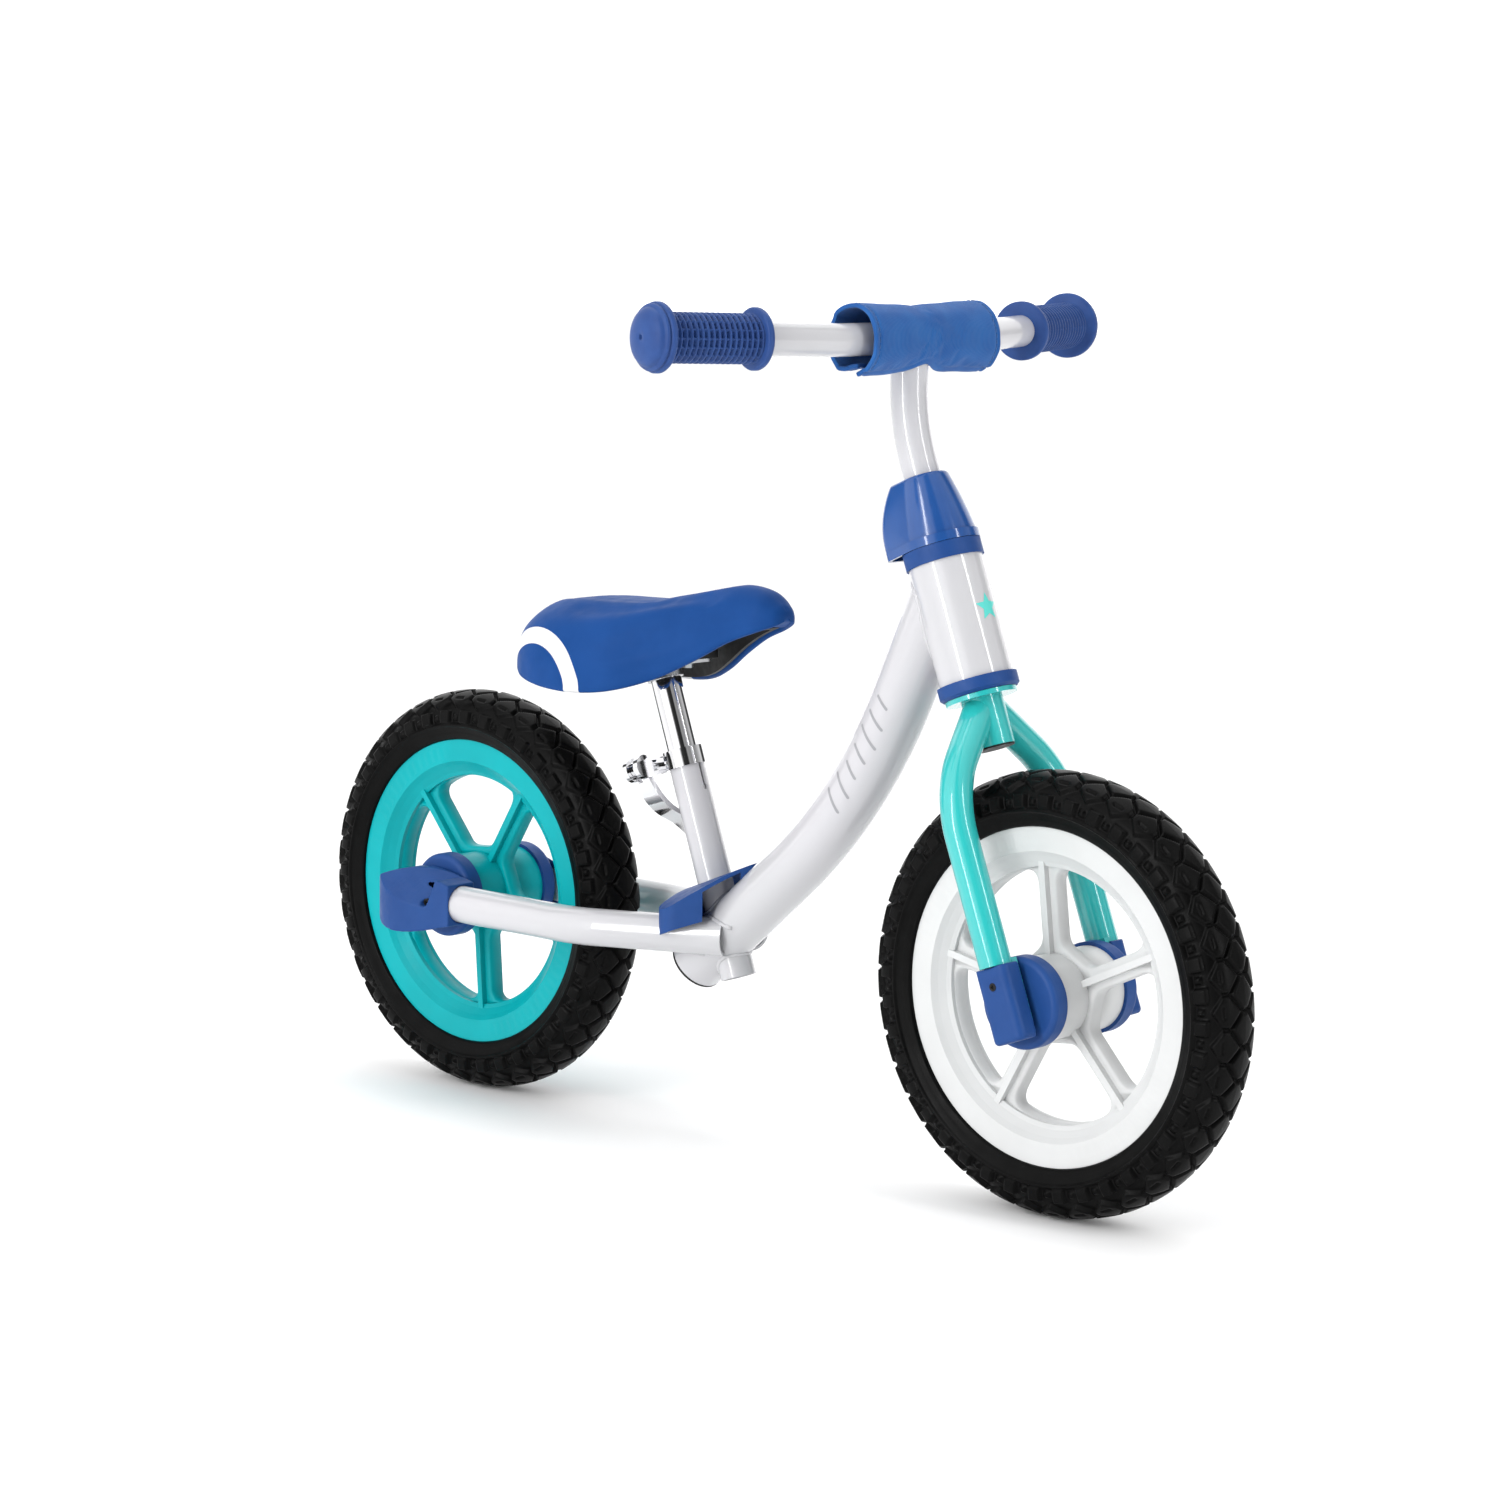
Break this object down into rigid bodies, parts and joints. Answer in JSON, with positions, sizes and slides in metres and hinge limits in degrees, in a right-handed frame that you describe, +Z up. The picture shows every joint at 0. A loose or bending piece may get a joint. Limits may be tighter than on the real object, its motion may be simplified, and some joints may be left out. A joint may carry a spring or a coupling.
{
  "type": "toddler balance bike",
  "caption": "Toddler balance bike with a curved step-through tube frame, foam-tyred spoked wheels, swept handlebar with chest pad, quick-release seat post and padded saddle.",
  "frame": {"origin": "on the ground, midway between the two wheels, in the plane of symmetry", "axes": "+X forward, +Y to the rider's left, +Z up"},
  "size_m": [0.848, 0.4544, 0.6039],
  "materials": {
    "white_paint": "gloss powder coat",
    "teal_paint": "gloss powder coat",
    "teal_plastic": "moulded nylon, satin",
    "white_plastic": "moulded nylon, satin",
    "blue_plastic": "moulded, fine matt grain",
    "blue_gloss_plastic": "moulded, high gloss",
    "blue_rubber": "moulded thermoplastic rubber, matt",
    "blue_fabric": "woven polyester",
    "blue_vinyl": "fine grained vinyl",
    "black_plastic": "moulded, matt",
    "tyre_foam": "moulded EVA foam",
    "chrome_plate": "bright chrome plate",
    "zinc_steel": "zinc plated",
    "bearing_steel": "ground and polished",
    "black_steel": "black oxide"
  },
  "bodies": {
    "frame": {"head_tube": "white_paint", "main_tube": "white_paint", "main_tube_plug": "black_plastic", "seat_tube": "white_paint", "rear_stay_left": "white_paint", "rear_stay_right": "white_paint", "rear_dropouts": "white_paint", "foot_rest": "blue_plastic", "rear_cover_left": "blue_plastic", "rear_cover_right": "blue_plastic", "rear_cover_screws": "black_steel", "rear_axle": "zinc_steel", "rear_axle_nuts": "zinc_steel", "rear_washers": "zinc_steel", "rear_axle_spacers": "zinc_steel", "rear_bearing_inner_rings": "bearing_steel", "upper_headset_cup": "blue_plastic", "lower_headset_cup": "blue_plastic", "seat_clamp": "chrome_plate", "clamp_bolt": "chrome_plate", "clamp_nut_and_washer": "chrome_plate", "cam_pin": "chrome_plate"},
    "fork": {"steerer_tube": "teal_paint", "steerer_plug": "black_plastic", "crown_disc": "teal_paint", "fork_blade_left": "teal_paint", "fork_blade_right": "teal_paint", "fork_ends": "teal_paint", "front_axle": "zinc_steel", "front_axle_nuts": "zinc_steel", "front_washers": "zinc_steel", "front_axle_spacers": "zinc_steel", "front_bearing_inner_rings": "bearing_steel", "front_cover_left": "blue_plastic", "front_cover_right": "blue_plastic", "front_cover_screws": "black_steel", "stem_clamp": "zinc_steel", "stem_clamp_bolt": "zinc_steel", "stem_shroud": "blue_gloss_plastic"},
    "handlebar": {"stem_tube": "white_paint", "crossbar": "white_paint", "grip_left": "blue_rubber", "grip_right": "blue_rubber", "handlebar_pad": "blue_fabric"},
    "front_wheel": {"front_rim": "white_plastic", "front_tyre": "tyre_foam", "front_hub_discs": "blue_plastic", "front_bearing_outer_rings": "bearing_steel", "front_bearing_balls": "bearing_steel"},
    "rear_wheel": {"rear_rim": "teal_plastic", "rear_tyre": "tyre_foam", "rear_hub_discs": "blue_plastic", "rear_bearing_outer_rings": "bearing_steel", "rear_bearing_balls": "bearing_steel"},
    "seat": {"seat_post": "chrome_plate", "saddle_bracket": "zinc_steel", "saddle_bolts": "zinc_steel", "saddle_base": "black_plastic", "saddle_cushion": "blue_vinyl"},
    "clamp_lever": {"quick_release_lever": "chrome_plate"}
  },
  "joints": [
    {"name": "steering", "type": "hinge", "parent": "frame", "child": "fork", "pos_m": [0.274, 0, 0.15], "axis": [-0.3584, 0, 0.9336], "range_deg": [-60, 60]},
    {"name": "bar_height", "type": "slide", "parent": "fork", "child": "handlebar", "axis": [-0.3584, 0, 0.9336], "range_m": [0, 0.04]},
    {"name": "front_wheel_spin", "type": "hinge", "parent": "fork", "child": "front_wheel", "pos_m": [0.274, 0, 0.15], "axis": [0, 1, 0], "continuous": true},
    {"name": "rear_wheel_spin", "type": "hinge", "parent": "frame", "child": "rear_wheel", "pos_m": [-0.274, 0, 0.15], "axis": [0, 1, 0], "continuous": true},
    {"name": "seat_height", "type": "slide", "parent": "frame", "child": "seat", "axis": [-0.342, 0, 0.9397], "range_m": [-0.025, 0.06]},
    {"name": "clamp_lever_turn", "type": "hinge", "parent": "frame", "child": "clamp_lever", "pos_m": [-0.09015, -0.027, 0.2634], "axis": [-0.9397, 0, -0.342], "range_deg": [0, 140]}
  ]
}
